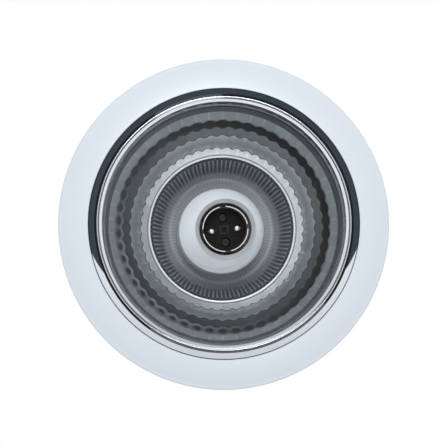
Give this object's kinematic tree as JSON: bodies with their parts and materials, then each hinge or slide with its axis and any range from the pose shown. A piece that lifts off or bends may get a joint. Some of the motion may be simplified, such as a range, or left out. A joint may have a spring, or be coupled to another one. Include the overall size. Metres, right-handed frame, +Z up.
{
  "type": "recessed ceiling downlight",
  "caption": "Round recessed ceiling downlight: white trim, chrome bezel, faceted reflector, fluted neck, bayonet lampholder, strap bracket, terminal box and sprung clips.",
  "frame": {"origin": "centre of the flange's ceiling rim, in the plane of the ceiling's underside", "axes": "+Z up into the ceiling, along the reflector's axis; +X along the strap bracket towards the terminal box; -Y the way the cable entry faces, and up in the picture"},
  "size_m": [0.16, 0.16, 0.146],
  "materials": {
    "trim_white": "gloss enamel",
    "bezel_chrome": "polished",
    "reflector_bright": "bright anodised",
    "neck_bright": "bright anodised, pressed flutes",
    "zinc_steel": "zinc plated",
    "screw_steel": "bright zinc plated",
    "spring_steel": "drawn wire",
    "holder_white": "gloss moulding",
    "sleeve_nickel": "nickel plated",
    "block_brown": "dark moulding",
    "contact_brass": "turned",
    "box_plastic": "fine moulded texture",
    "block_plastic": "natural moulding",
    "soft_black": "matte",
    "insulation_brown": "extruded",
    "insulation_blue": "extruded",
    "insulation_earth": "extruded, two colours"
  },
  "bodies": {
    "fixture": {"trim_ring": "trim_white", "bezel_ring": "bezel_chrome", "faceted_reflector": "reflector_bright", "fluted_neck": "neck_bright", "neck_retaining_ring": "zinc_steel", "holder_bracket": "zinc_steel", "stem_washer": "zinc_steel", "clip_bracket_rear": "zinc_steel", "clip_bracket_front": "zinc_steel", "bracket_screws": "screw_steel", "contact_block_screws": "screw_steel", "lid_screws": "screw_steel", "box_screws": "screw_steel", "block_screw": "screw_steel", "clamp_screws": "screw_steel", "clip_pin_rear": "screw_steel", "clip_pin_front": "screw_steel", "clip_rivets": "screw_steel", "plunger_spring_left": "spring_steel", "plunger_spring_right": "spring_steel", "clip_spring_rear": "spring_steel", "clip_spring_front": "spring_steel", "holder_bell": "holder_white", "holder_cap": "holder_white", "bayonet_sleeve": "sleeve_nickel", "contact_block": "block_brown", "holder_terminal_left": "contact_brass", "holder_terminal_right": "contact_brass", "holder_terminal_screws": "contact_brass", "holder_stem": "contact_brass", "stem_nut": "contact_brass", "terminal_inserts": "contact_brass", "terminal_screws": "contact_brass", "earth_tag": "contact_brass", "earth_screw": "contact_brass", "terminal_box": "box_plastic", "terminal_lid": "box_plastic", "cord_clamp": "box_plastic", "terminal_block": "block_plastic", "cable_grommet": "soft_black", "live_lead": "insulation_brown", "neutral_lead": "insulation_blue", "earth_lead": "insulation_earth"},
    "clip_rear": {"clip_arm_rear": "zinc_steel", "clip_sleeve_rear": "soft_black"},
    "clip_front": {"clip_arm_front": "zinc_steel", "clip_sleeve_front": "soft_black"},
    "plunger_left": {"contact_plunger_left": "contact_brass"},
    "plunger_right": {"contact_plunger_right": "contact_brass"}
  },
  "joints": [
    {"name": "clip_rear_hinge", "type": "hinge", "parent": "fixture", "child": "clip_rear", "pos_m": [0, 0.068, 0.022], "axis": [1, 0, 0], "range_deg": [0, 165], "stiffness_Nm_per_rad": 0.15, "springref_deg": -57.3, "deforming": ["clip_spring_rear"]},
    {"name": "clip_front_hinge", "type": "hinge", "parent": "fixture", "child": "clip_front", "pos_m": [0, -0.068, 0.022], "axis": [-1, 0, 0], "range_deg": [0, 165], "stiffness_Nm_per_rad": 0.15, "springref_deg": -57.3, "deforming": ["clip_spring_front"]},
    {"name": "plunger_left_slide", "type": "slide", "parent": "fixture", "child": "plunger_left", "axis": [-0.0454, 0, 0.999], "range_m": [0, 0.0026], "stiffness_N_per_m": 1500, "springref_m": -0.002, "deforming": ["plunger_spring_left"]},
    {"name": "plunger_right_slide", "type": "slide", "parent": "fixture", "child": "plunger_right", "axis": [-0.0454, 0, 0.999], "range_m": [0, 0.0026], "stiffness_N_per_m": 1500, "springref_m": -0.002, "deforming": ["plunger_spring_right"]}
  ]
}
